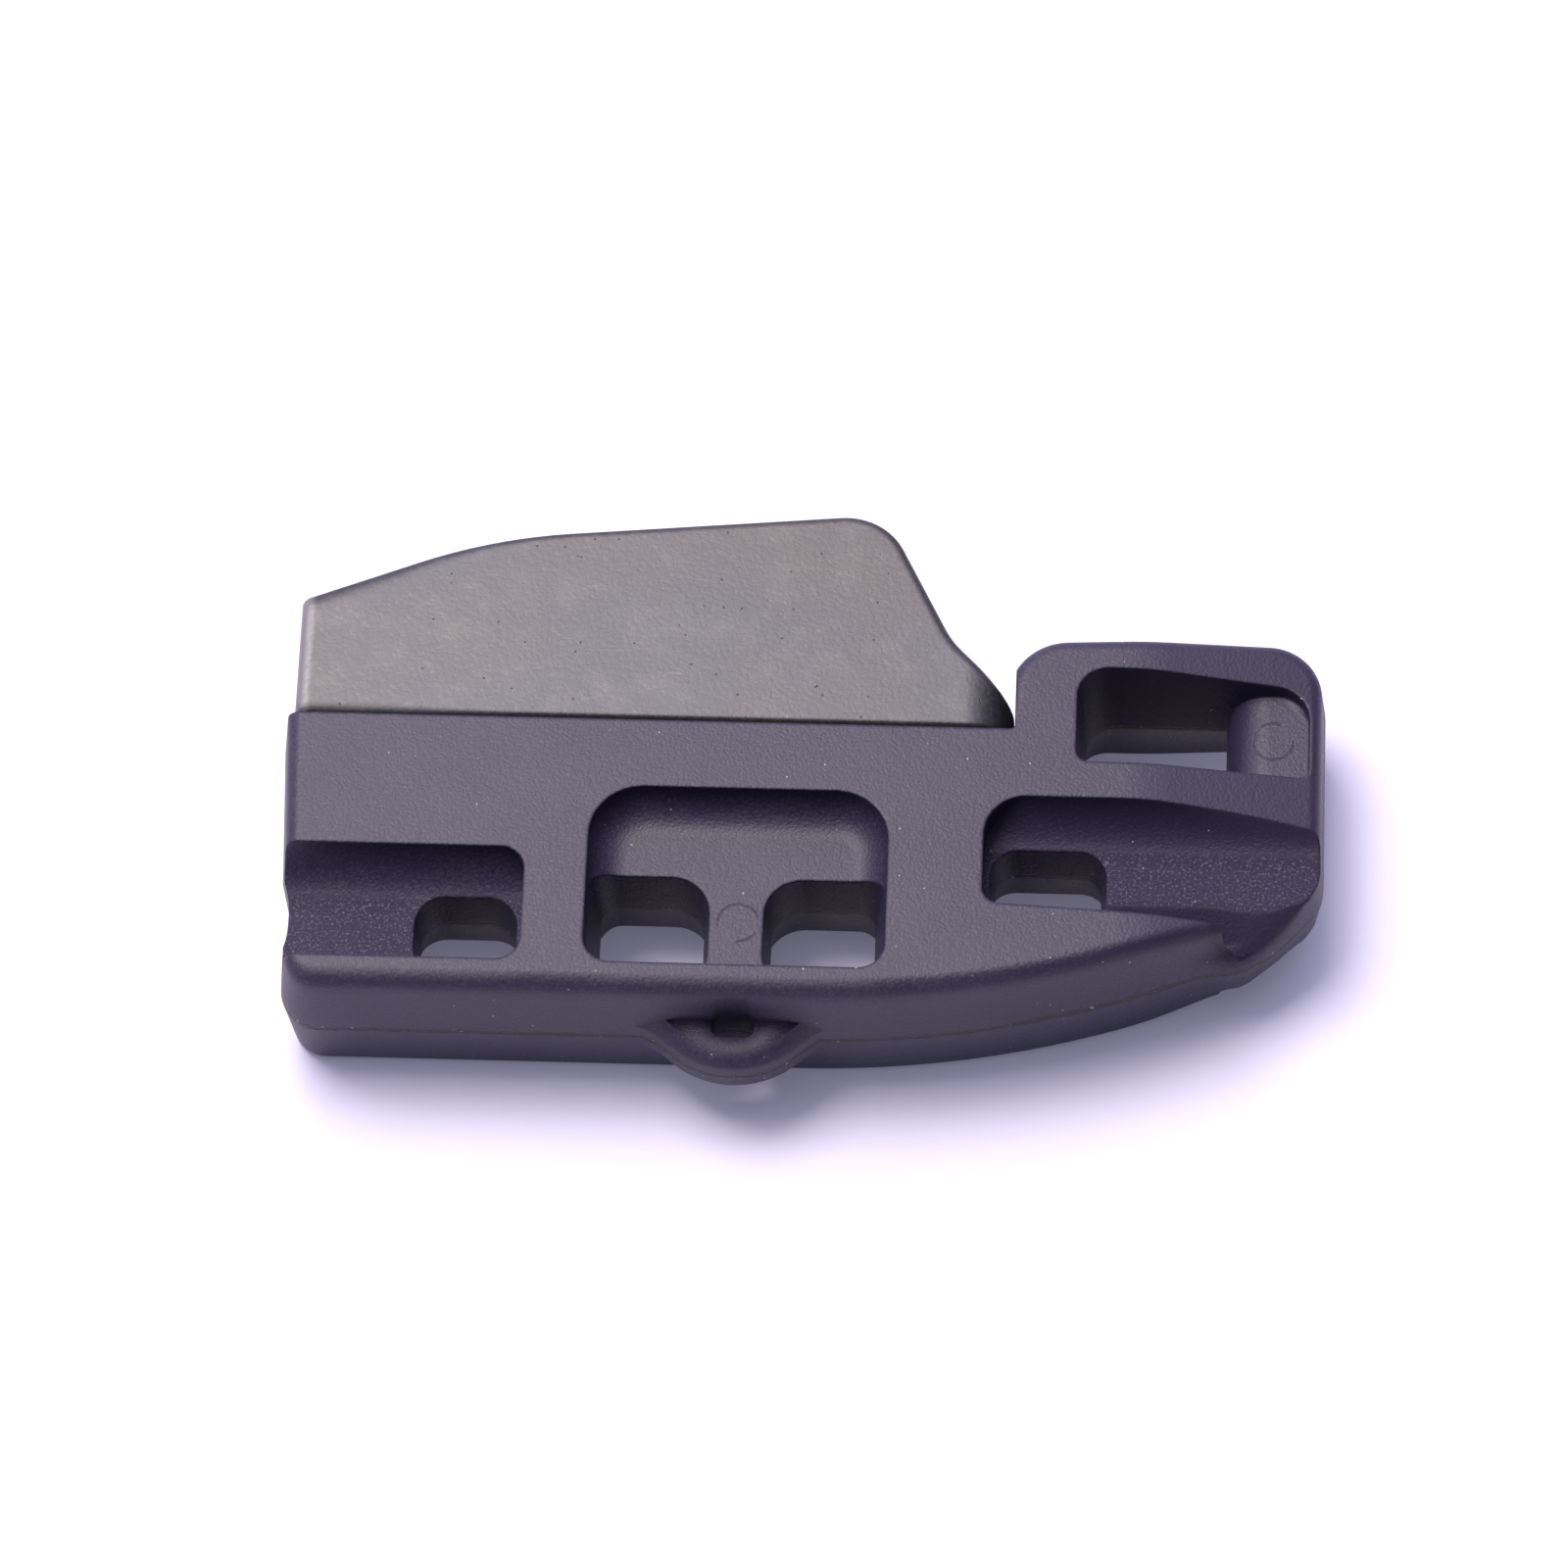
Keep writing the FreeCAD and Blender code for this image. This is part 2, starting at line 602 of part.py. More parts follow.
soften(cleat, "Fillet", "rim_round", is_outer_rim, "cleat_rim_round")
doc.recompute()


def is_foot_edge(edge):
    """The outline of the foot that stands on the seat."""
    return edge.BoundBox.YMax < number("cleat_foot_bevel / 2")


soften(cleat, "Chamfer", "foot_bevel", is_foot_edge, "cleat_foot_bevel")
doc.recompute()

# Ribs: slanted grooves in both walls leave sharp-backed teeth that lead the rope down towards the toe.
DROP = "(crest_height - channel_floor)"
RUN = "(crest_height - channel_floor) / tan(rib_slope)"
grooves = []
for side, sign in (("left", -1), ("right", 1)):
    groove_sketch = new_sketch(cleat, side + "_groove_sketch", "XZ_Plane", "-crest_height")
    wall = "(channel_floor_width / 2 + %s * tan(channel_wall_lean))" % DROP
    start = "(-%s)" % RUN
    outline(groove_sketch, [
        (start, "%d * (%s - groove_depth)" % (sign, wall), 0),
        (start + " + groove_width", "%d * (%s - groove_depth)" % (sign, wall), 0),
        (start + " + groove_width", "%d * %s" % (sign, wall), 0),
        (start + " + groove_peak", "%d * (%s + groove_depth)" % (sign, wall), 0),
        (start, "%d * %s" % (sign, wall), 0),
    ])
    groove = cleat.newObject("PartDesign::Pocket", side + "_groove")
    groove.Profile = groove_sketch
    groove.UseCustomVector = True
    groove.AlongSketchNormal = True
    bind(groove, "Direction.x", "1 / tan(rib_slope)")
    bind(groove, "Direction.y", "-1")
    bind(groove, "Direction.z", "%d * tan(channel_wall_lean)" % -sign)
    bind(groove, "Length", DROP)
    grooves.append(groove)
X_AXIS = ([item for item in cleat.Origin.OriginFeatures if item.Role == "X_Axis"][0], [""])
doc.recompute()
ribs = cleat.newObject("PartDesign::LinearPattern", "ribs")
ribs.Originals = grooves
ribs.Direction = X_AXIS
ribs.Mode = "Spacing"
bind(ribs, "Offset", "rib_pitch")
bind(ribs, "Occurrences", "ceil((cleat_length + %s) / rib_pitch)" % RUN)
cleat.Tip = ribs
doc.recompute()

# Each screw sinks through the teeth into a countersink in the channel's floor.
SOCKET_CONE_TOP = CONE_TOP + " + (screw_pocket_width - screw_head_width) / 2"
SOCKET_CONE_END = CONE_TOP + " - (screw_head_width - screw_hole_width) / 2"
socket_sketch = new_sketch(cleat, "screw_socket_sketch", "XY_Plane")
outline(socket_sketch, [
    (REAR_SCREW, "-reach_past", 0),
    (REAR_SCREW + " + screw_hole_width / 2", "-reach_past", 0),
    (REAR_SCREW + " + screw_hole_width / 2", SOCKET_CONE_END, 0),
    (REAR_SCREW + " + screw_pocket_width / 2", SOCKET_CONE_TOP, 0),
    (REAR_SCREW + " + screw_pocket_width / 2", "crest_height + reach_past", 0),
    (REAR_SCREW, "crest_height + reach_past", 0),
])
socket = cleat.newObject("PartDesign::Groove", "screw_socket")
socket.Profile = socket_sketch
socket.ReferenceAxis = (socket_sketch, ["Edge6"])
socket.Angle = 360
doc.recompute()
sockets = cleat.newObject("PartDesign::LinearPattern", "screw_sockets")
sockets.Originals = [socket]
sockets.Direction = X_AXIS
sockets.Mode = "Spacing"
bind(sockets, "Offset", "screw_spacing")
sockets.Occurrences = 2
cleat.Tip = sockets
doc.recompute()


def screw(name, place):
    """A countersunk self-tapping screw with a blunt end and a cross recess, standing in its hole."""
    body = turned(name, place, [
        (0, SCREW_END, 0),
        ("screw_shank_width / 2 - screw_end_bevel", SCREW_END, 0),
        ("screw_shank_width / 2", SCREW_END + " + screw_end_bevel", 0),
        ("screw_shank_width / 2", CONE_TOP + " - (screw_head_width - screw_shank_width) / 2", 0),
        ("screw_head_width / 2", CONE_TOP, 0),
        ("screw_head_width / 2", HEAD_TOP, 0),
        (0, HEAD_TOP, 0),
    ])
    cross = new_sketch(body, name + "_cross_sketch", "XZ_Plane", "-" + HEAD_TOP)
    wide = "cross_width / 2"
    slim = "cross_slot / 2"
    steps = [(wide, slim), (slim, slim), (slim, wide)]
    corners = []
    for x_sign, z_sign, order in ((1, 1, 1), (-1, 1, -1), (-1, -1, 1), (1, -1, -1)):
        for x, z in steps[::order]:
            corners.append(("%s + %d * %s" % (place, x_sign, x), "%d * %s" % (z_sign, z), 0))
    outline(cross, corners)
    extrude(body, "Pocket", name + "_cross", cross, "cross_depth")
    return body


rear_screw = screw("rear_screw", REAR_SCREW)
front_screw = screw("front_screw", FRONT_SCREW)
doc.recompute()

pieces = [base_moulding, cleat, front_screw, rear_screw]
faults = [item.Name for item in doc.Objects if {"Invalid", "Error"} & set(item.State)]
if faults:
    raise RuntimeError("These objects failed: " + ", ".join(faults))

# The part lies on one flat side, and its origin is under the middle of that side.
boxes = [piece.Shape.optimalBoundingBox(False) for piece in pieces]
middle_x = (min(box.XMin for box in boxes) + max(box.XMax for box in boxes)) / 2
middle_y = (min(box.YMin for box in boxes) + max(box.YMax for box in boxes)) / 2
shift = FreeCAD.Vector(-middle_x, -middle_y, number(FACE))
for piece in pieces:
    piece.Label = piece.Name
    piece.Placement = FreeCAD.Placement(shift, FreeCAD.Rotation())
doc.recompute()

for piece in pieces:
    shape = piece.Shape
    if shape.isNull() or not shape.isValid() or len(shape.Solids) != 1:
        raise RuntimeError(piece.Label + " isn't one sound solid")
    shape.exportStep("parts/%s.step" % piece.Label)
    box = shape.optimalBoundingBox(False)
    print("%s: %.1f mm3, %.2f x %.2f x %.2f mm" % (
        piece.Label, shape.Volume, box.XLength, box.YLength, box.ZLength))
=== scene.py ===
"""A jam cleat for rope on its moulded base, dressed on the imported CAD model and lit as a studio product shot.

The CAD frame has the part lying on one flat side: X runs from the tail to the nose, Y from the lower rail up
to the cleat's crest and Z upwards, with the mould's parting plane half way up the base. Sizes are millimetres
where a name or comment says so, and metres otherwise.
"""

import logging
import math
from dataclasses import dataclass, field
from enum import Enum
from functools import partial
from typing import Any, Callable, Iterable, Sequence, Union

import bmesh
import bpy
from mathutils import Matrix, Vector


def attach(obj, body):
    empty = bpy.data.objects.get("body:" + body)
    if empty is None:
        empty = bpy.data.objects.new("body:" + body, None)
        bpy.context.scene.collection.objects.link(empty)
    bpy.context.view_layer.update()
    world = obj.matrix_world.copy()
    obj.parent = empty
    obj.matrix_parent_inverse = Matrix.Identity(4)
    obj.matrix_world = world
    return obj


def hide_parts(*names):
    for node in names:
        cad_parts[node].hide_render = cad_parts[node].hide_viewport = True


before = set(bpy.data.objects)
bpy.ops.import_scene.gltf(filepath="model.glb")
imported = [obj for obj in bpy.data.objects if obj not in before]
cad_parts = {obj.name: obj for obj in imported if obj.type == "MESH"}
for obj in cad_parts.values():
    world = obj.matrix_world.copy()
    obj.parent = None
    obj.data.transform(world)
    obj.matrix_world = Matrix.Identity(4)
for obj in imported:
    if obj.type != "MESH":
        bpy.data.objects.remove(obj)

LOG = logging.getLogger("jam_cleat")
MM = 0.001
PARTING_PLANE = 8.5  # mm above the floor
EASED = {"interpolation_type": "SMOOTHSTEP"}  # a MapRange that eases from 0 at one limit to 1 at the other

Input = Union[float, Sequence[float], bpy.types.Node, bpy.types.NodeSocket]
Inputs = Union[dict[Union[str, int], Input], Sequence[Input]]
AddNode = Callable[..., bpy.types.Node]


class Part(Enum):
    """The solids of the CAD model."""

    BASE = "base_moulding"
    CLEAT = "cleat_body"
    FRONT_SCREW = "front_screw"
    REAR_SCREW = "rear_screw"


def linear(code: str) -> tuple[float, float, float, float]:
    """Turn an sRGB hex colour into the linear colour that shaders read.

    Args:
        code: Six hex digits after a hash, as a picture editor shows them.

    Returns:
        Red, green, blue and an alpha of one.
    """
    channels = [int(code[i:i + 2], 16) / 255 for i in (1, 3, 5)]
    red, green, blue = (c / 12.92 if c <= 0.04045 else ((c + 0.055) / 1.055) ** 2.4 for c in channels)
    return red, green, blue, 1.0


def add_node(tree: bpy.types.NodeTree, kind: str, inputs: Inputs = (), **settings: Any) -> bpy.types.Node:
    """Add one shader node with its settings, values and links.

    Args:
        tree: The node tree that gets the node.
        kind: The node's type without the words ShaderNode.
        inputs: What goes in, by the inputs' names or numbers or in order. A node means its first output.
        settings: Properties of the node itself.

    Returns:
        The new node.
    """
    node = tree.nodes.new("ShaderNode" + kind)
    for name, value in settings.items():
        setattr(node, name, value)
    for name, value in inputs.items() if isinstance(inputs, dict) else enumerate(inputs):
        if isinstance(value, bpy.types.Node):
            value = value.outputs[0]
        if isinstance(value, bpy.types.NodeSocket):
            tree.links.new(value, node.inputs[name])
        else:
            node.inputs[name].default_value = value
    return node


def new_material(name: str) -> tuple[bpy.types.Material, AddNode]:
    """Start an empty node material.

    Args:
        name: The material's name.

    Returns:
        The material, and add_node for its tree.
    """
    material = bpy.data.materials.new(name)
    material.use_nodes = True
    material.node_tree.nodes.clear()
    return material, partial(add_node, material.node_tree)


def place_in_mm(add: AddNode) -> bpy.types.Node:
    """The point's place in the CAD frame, in millimetres, so that every pattern's scale reads in 1/mm."""
    return add("VectorMath", {0: add("TexCoord").outputs["Object"], "Scale": 1 / MM}, operation="SCALE")


def noise_scale(grain: float) -> float:
    """The scale at which a noise's grains come out at about a size in millimetres."""
    return 0.5 / grain


def layered(add: AddNode, base: str, coats: Iterable[tuple[Input, str]]) -> Input:
    """Lay colours over a base colour, one after the other.

    Args:
        add: add_node for the material's tree.
        base: The base colour as sRGB hex.
        coats: How much of each coat shows, and its colour as sRGB hex.

    Returns:
        The colour that is seen.
    """
    colour: Input = linear(base)
    for shown, coat in coats:
        colour = add("Mix", {0: shown, 6: colour, 7: linear(coat)}, data_type="RGBA").outputs[2]
    return colour


@dataclass(frozen=True)
class PinMark:
    """The round mark that an ejector pin leaves: a shallow ring on a flat face, in mm."""

    x: float
    y: float
    radius: float = 1.88


@dataclass(frozen=True)
class MouldedNylon:
    """Black glass-filled nylon, injection moulded in a spark-eroded tool.

    The glass near the skin and the eroded tool face make it a matt, finely grained black that takes a broad
    grey sheen from a soft lamp. The gutters' floors keep a coarser grain that glitters where light grazes it,
    with a painted glint.
    """

    skin: str = "#29243e"
    # lighter grey for the grain and mottle, also laid on as painted light towards the tail
    grey_grain_and_painted_light: str = "#5a5461"
    # painted glint on the gutter floors' coarse grains
    painted_glint: str = "#a29dae"
    dust: str = "#c4c0ca"
    line: str = "#08070a"
    ior: float = 1.53
    roughness: float = 0.5
    gutter_roughness: float = 0.85
    edge_mm: float = 0.45  # the mould's own radius on every rim
    rail_edge_mm: float = 3.0  # added along the lower rail and on the lug
    rail_mm: float = -21.0  # the lower rail's line across the part, up to where it rises
    rail_rises_mm: float = 5.0  # where it starts to rise towards the nose, along the part
    rail_rise: float = 0.0062  # how much it rises, for each mm squared past there
    rail_eases_mm: tuple[float, float] = (0.8, -0.6)  # above that line, where the radius grows and is full
    grain_mm: float = 0.14  # the real grain is near 0.1 mm, drawn coarser so that it shows
    gutter_grain_mm: float = 0.12
    mottle_mm: float = 3.5
    seam_mm: float = 0.34  # half the parting line's width
    waver_mm: float = 0.8333  # length over which that width wavers
    burr_mm: float = 0.3846
    speck_cell_mm: float = 1.17647  # a cell of the pattern that places the specks
    speck_chance: float = 0.18  # share of those cells that hold one
    relief_mm: float = 0.075  # height of the grain
    tail_painted_light: float = 0.06  # share of the lighter grey at the tail's end: painted light, where the lamp's sheen is strongest
    nose_painted_shade: float = -0.24  # and at the nose: painted shade, as the lamp's sheen falls off towards it
    painted_falloff_mm: tuple[float, float] = (8.0, 46.0)  # where the painted falloff starts and ends, along the part
    gutter_floor_mm: float = 4.0  # height of the gutters' floors above the parting plane
    gutters_from_mm: float = 19.0  # how far the gutters are from the middle of the window
    window_middle_mm: float = -4.0
    pin_marks: tuple[PinMark, ...] = (PinMark(-5.2, -13.9), PinMark(43.3, 6.2), PinMark(-40.5, -16.6))
    pin_line_mm: tuple[float, float] = (0.13, 0.03)  # half the width of a mark's line, and of its core
    pin_wear_mm: float = 1.0  # patches where they are worn away

    def build(self) -> bpy.types.Material:
        """Make the material.

        Returns:
            The finished material.
        """
        material, add = new_material("moulded_glass_filled_nylon")
        place = place_in_mm(add)
        x, y, z = add("SeparateXYZ", (place,)).outputs
        normal_z = add("SeparateXYZ", (add("NewGeometry").outputs["Normal"],)).outputs[2]
        upright = add("Math", (normal_z,), operation="ABSOLUTE")
        height = add("Math", (add("Math", (z, PARTING_PLANE), operation="SUBTRACT"),), operation="ABSOLUTE")

        gutter = self.gutter(add, x, upright, height)
        grain = add("TexNoise", {"Vector": place, "Scale": noise_scale(self.grain_mm), "Detail": 3.0})
        coarse = add("TexNoise", {"Vector": place, "Scale": noise_scale(self.gutter_grain_mm), "Detail": 2.0})
        glitter = add("Math", (gutter, add("MapRange", (coarse, 0.5, 0.74), **EASED)), operation="MULTIPLY")
        seam = self.parting_line(add, place, height)
        rings = self.rings(add, place, x, y, upright)

        colour = layered(add, self.skin, (
            # grain and mottle in a lighter grey, with painted light towards the tail and painted shade towards
            # the nose
            (self.grain_tone_and_painted_falloff(add, place, x, grain), self.grey_grain_and_painted_light),
            # painted glint: a light grey laid on the gutter floors' coarse grains
            (add("Math", (glitter, 0.16), operation="MULTIPLY"), self.painted_glint),
            (self.specks(add, place), self.dust),
            (seam, self.line),
            (self.burrs(add, place, height), self.dust),
        ))
        rough = add("Math", (grain, 0.3, self.roughness - 0.15), operation="MULTIPLY_ADD")
        rough = add("Math", (gutter, self.gutter_roughness - self.roughness, rough), operation="MULTIPLY_ADD")
        rough = add("Math", (glitter, -0.25, rough), operation="MULTIPLY_ADD")

        relief = add("Math", (coarse, add("Math", (gutter, 1.1), operation="MULTIPLY"), grain),
                     operation="MULTIPLY_ADD")
        relief = add("Math", (rings, -0.9, relief), operation="MULTIPLY_ADD")
        relief = add("Math", (seam, -4.0, relief), operation="MULTIPLY_ADD")
        soft = add("Bevel", {"Radius": self.rim(add, x, y)}, samples=8)
        bump = add("Bump", {
            "Height": relief, "Strength": 0.8, "Distance": self.relief_mm * MM, "Normal": soft,
        })

        shader = add("BsdfPrincipled", {
            "Base Color": colour, "Roughness": rough, "IOR": self.ior, "Metallic": 0.0, "Normal": bump,
        })
        add("OutputMaterial", {"Surface": shader})
        return material

    def gutter(self, add: AddNode, x: Input, upright: Input, height: Input) -> bpy.types.Node:
        """The level floors of the two gutters, at both ends of the part.

        Args:
            add: add_node for the material's tree.
            x: The place along the part, in mm.
            upright: How far the face looks up or down, from 0 to 1.
            height: The distance from the parting plane, in mm.

        Returns:
            1 on those floors and 0 elsewhere.
        """
        above = add("Math", (height, self.gutter_floor_mm), operation="SUBTRACT")
        level = add("Math", (add("MapRange", (upright, 0.86, 0.97), **EASED),
                             add("MapRange", (above, 0.9, 0.2), **EASED)), operation="MULTIPLY")
        offset = add("Math", (x, self.window_middle_mm), operation="SUBTRACT")
        outwards = add("Math", (offset,), operation="ABSOLUTE")
        ends = add("MapRange", (outwards, self.gutters_from_mm - 0.5, self.gutters_from_mm + 0.5), **EASED)
        return add("Math", (level, ends), operation="MULTIPLY")

    def grain_tone_and_painted_falloff(self, add: AddNode, place: Input, x: Input, grain: Input) -> bpy.types.Node:
        """Where the skin shows a lighter grey: its grain and random mottle, plus a painted light falloff from
        tail to nose.

        Args:
            add: add_node for the material's tree.
            place: The place in the frame, in mm.
            x: The place along the part, in mm.
            grain: The mould's grain.

        Returns:
            The lighter grey's share, from 0 to 1.
        """
        mottle = add("TexNoise", {"Vector": place, "Scale": noise_scale(self.mottle_mm), "Detail": 4.0})
        # painted light falloff: lighter at the tail and darker at the nose, standing in for the lamp's sheen
        # falling off
        worn = add("MapRange", (x, *self.painted_falloff_mm, self.tail_painted_light, self.nose_painted_shade), **EASED)
        worn = add("Math", (add("Math", (mottle, 0.5), operation="SUBTRACT"), 0.35, worn),
                   operation="MULTIPLY_ADD")
        return add("Math", (add("Math", (grain, 0.5), operation="SUBTRACT"), 1.1, worn),
                   operation="MULTIPLY_ADD", use_clamp=True)

    def parting_line(self, add: AddNode, place: Input, height: Input) -> bpy.types.Node:
        """The hairline where the mould halves meet, which wavers a little along its way.

        Args:
            add: add_node for the material's tree.
            place: The place in the frame, in mm.
            height: The distance from the parting plane, in mm.

        Returns:
            1 in the line and 0 elsewhere.
        """
        waver = add("TexNoise", {"Vector": place, "Scale": noise_scale(self.waver_mm), "Detail": 4.0})
        width = add("Math", (waver, 2 * self.seam_mm), operation="MULTIPLY")
        depth = add("Math", (add("Math", (width, height), operation="SUBTRACT"), width), operation="DIVIDE")
        return add("MapRange", (depth, 0.0, 0.2), **EASED)

    def burrs(self, add: AddNode, place: Input, height: Input) -> bpy.types.Node:
        """Pale torn flecks of flash that are left here and there along the parting line.

        Args:
            add: add_node for the material's tree.
            place: The place in the frame, in mm.
            height: The distance from the parting plane, in mm.

        Returns:
            How much they show.
        """
        torn = add("TexNoise", {"Vector": place, "Scale": noise_scale(self.burr_mm), "Detail": 2.0})
        near = add("MapRange", (height, 0.5, 0.2), **EASED)
        shown = add("MapRange", (torn, 0.66, 0.72, 0.0, 0.6), **EASED)
        return add("Math", (near, shown), operation="MULTIPLY")

    def rim(self, add: AddNode, x: Input, y: Input) -> bpy.types.Node:
        """The rims' radius: larger along the lower rail, whose line rises in a parabola towards the nose.

        Args:
            add: add_node for the material's tree.
            x: The place along the part, in mm.
            y: The place across the part, in mm.

        Returns:
            The radius, in metres.
        """
        past = add("Math", (x, self.rail_rises_mm), operation="SUBTRACT")
        past = add("Math", (past, 0.0), operation="MAXIMUM")
        line = add("Math", (add("Math", (past, past), operation="MULTIPLY"), self.rail_rise, self.rail_mm),
                   operation="MULTIPLY_ADD")
        above = add("Math", (y, line), operation="SUBTRACT")
        return add("MapRange", (above, *self.rail_eases_mm, self.edge_mm * MM,
                                (self.edge_mm + self.rail_edge_mm) * MM), **EASED)

    def rings(self, add: AddNode, place: Input, x: Input, y: Input, upright: Input) -> bpy.types.Node:
        """The ejector pins' ring marks, worn away in places.

        Args:
            add: add_node for the material's tree.
            place: The place in the frame, in mm.
            x: The place along the part, in mm.
            y: The place across the part, in mm.
            upright: How far the face looks up or down, from 0 to 1.

        Returns:
            1 in the rings and 0 elsewhere.
        """
        spot = add("CombineXYZ", (x, y, 0.0))
        total: Input = 0.0
        for mark in self.pin_marks:
            across = add("VectorMath", (spot, (mark.x, mark.y, 0.0)), operation="DISTANCE").outputs["Value"]
            away = add("Math", (across, mark.radius), operation="SUBTRACT")
            away = add("Math", (away,), operation="ABSOLUTE")
            total = add("Math", (total, add("MapRange", (away, *self.pin_line_mm), **EASED)), operation="ADD")
        wear = add("TexNoise", {"Vector": place, "Scale": noise_scale(self.pin_wear_mm)})
        left = add("MapRange", (wear, 0.42, 0.56), **EASED)
        flat = add("MapRange", (upright, 0.55, 0.95), **EASED)
        return add("Math", (add("Math", (total, flat), operation="MULTIPLY"), left), operation="MULTIPLY")

    def specks(self, add: AddNode, place: Input) -> bpy.types.Node:
        """Dust and nicks: one spot of a tenth of a millimetre in some of the cells of a 1.2 mm pattern.

        Args:
            add: add_node for the material's tree.
            place: The place in the frame, in mm.

        Returns:
            How much they show.
        """
        cells = add("TexVoronoi", {"Vector": place, "Scale": 1 / self.speck_cell_mm})
        draw = add("SeparateColor", (cells.outputs["Color"],))
        held = add("Math", (draw, 1 - self.speck_chance), operation="GREATER_THAN")
        near = add("MapRange", (cells.outputs["Distance"], 0.085, 0.045, 0.0, 0.75), **EASED)
        return add("Math", (near, held), operation="MULTIPLY")


@dataclass(frozen=True)
class CastAluminium:
    """Aluminium, gravity cast, tumbled and hard anodised.

    The oxide makes it a dull mid grey with a satin sheen, uneven in tone, with pits, scuffs and drag marks.
    """

    oxide: str = "#555659"
    warm: str = "#5a5757"
    worn: str = "#787575"
    painted_highlight_edge: str = "#a5a2a0"  # painted highlight along the tail's rounded edge, where the lamp catches it
    pit: str = "#353236"
    roughness: float = 0.5
    edge_mm: float = 0.6  # what the tumbling takes off every edge
    tail_edge_mm: float = 1.5  # added towards the tail, where the casting is rolled over
    tail_rolls_mm: tuple[float, float] = (-24.0, -44.0)  # where that starts and is full, along the part
    painted_highlight_from_mm: tuple[float, float] = (-45.3, -46.3)  # where the painted highlight starts and is full, along the part
    grain_mm: float = 0.2
    cloud_mm: float = 1.6
    blotch_mm: float = 9.0
    scuff_mm: float = 0.13636  # width of a drag mark
    scuff_run: float = 0.09  # its width over its length
    scuff_turn: float = 0.12  # radians from the part's length
    pit_cell_mm: float = 1.0  # a cell of the pattern that places the pits
    pit_chance: float = 0.2  # share of those cells that hold one
    relief_mm: float = 0.04  # height of the grain

    def build(self) -> bpy.types.Material:
        """Make the material.

        Returns:
            The finished material.
        """
        material, add = new_material("hard_anodised_cast_aluminium")
        place = place_in_mm(add)
        along = add("SeparateXYZ", (place,)).outputs[0]
        grain = add("TexNoise", {"Vector": place, "Scale": noise_scale(self.grain_mm), "Detail": 3.0})
        cloud = add("TexNoise", {"Vector": place, "Scale": noise_scale(self.cloud_mm), "Detail": 4.0})
        blotch = add("TexNoise", {"Vector": place, "Scale": noise_scale(self.blotch_mm), "Detail": 5.0})
        scuffs = self.scuffs(add, place)
        pits = self.pits(add, place)

        colour = layered(add, self.oxide, (
            (add("MapRange", (blotch, 0.42, 0.66), **EASED), self.warm),
            (add("MapRange", (cloud, 0.45, 0.75, 0.0, 0.14), **EASED), self.worn),
            (add("MapRange", (grain, 0.4, 0.7, 0.0, 0.22), **EASED), self.worn),
            (add("Math", (scuffs, 0.16), operation="MULTIPLY"), self.worn),
            (add("Math", (pits, 0.4), operation="MULTIPLY"), self.pit),
            # painted highlight on the tail's rounded edge
            (add("MapRange", (along, *self.painted_highlight_from_mm, 0.0, 0.8), **EASED), self.painted_highlight_edge),
        ))
        rough = add("Math", (grain, 0.24, self.roughness - 0.12), operation="MULTIPLY_ADD")
        rough = add("Math", (scuffs, -0.05, rough), operation="MULTIPLY_ADD")
        relief = add("Math", (pits, -1.2, grain), operation="MULTIPLY_ADD")
        relief = add("Math", (cloud, 0.2, relief), operation="MULTIPLY_ADD")
        rim = add("MapRange", (along, *self.tail_rolls_mm, self.edge_mm * MM,
                               (self.edge_mm + self.tail_edge_mm) * MM), **EASED)
        soft = add("Bevel", {"Radius": rim}, samples=8)
        bump = add("Bump", {
            "Height": relief, "Strength": 0.7, "Distance": self.relief_mm * MM, "Normal": soft,
        })
        shader = add("BsdfPrincipled", {
            "Base Color": colour, "Roughness": rough, "Metallic": 1.0, "Normal": bump,
        })
        add("OutputMaterial", {"Surface": shader})
        return material

    def scuffs(self, add: AddNode, place: Input) -> bpy.types.Node:
        """Thin drag marks that run roughly along the cleat.

        Args:
            add: add_node for the material's tree.
            place: The place in the frame, in mm.

        Returns:
            1 in the marks and 0 elsewhere.
        """
        drawn = add("Mapping", {"Vector": place, "Rotation": (0.0, 0.0, self.scuff_turn),
                                "Scale": (self.scuff_run, 1.0, 1.0)})
        lines = add("TexNoise", {"Vector": drawn, "Scale": noise_scale(self.scuff_mm), "Detail": 3.0})
        return add("MapRange", (lines, 0.66, 0.8), **EASED)

    def pits(self, add: AddNode, place: Input) -> bpy.types.Node:
        """Casting pits: a dot of a tenth of a millimetre in some of the cells of a 1 mm pattern.

        Args:
            add: add_node for the material's tree.
            place: The place in the frame, in mm.

        Returns:
            1 in the pits and 0 elsewhere.
        """
        cells = add("TexVoronoi", {"Vector": place, "Scale": 1 / self.pit_cell_mm})
        draw = add("SeparateColor", (cells.outputs["Color"],)).outputs[1]
        held = add("Math", (draw, 1 - self.pit_chance), operation="GREATER_THAN")
        near = add("MapRange", (cells.outputs["Distance"], 0.12, 0.06), **EASED)
        return add("Math", (near, held), operation="MULTIPLY")


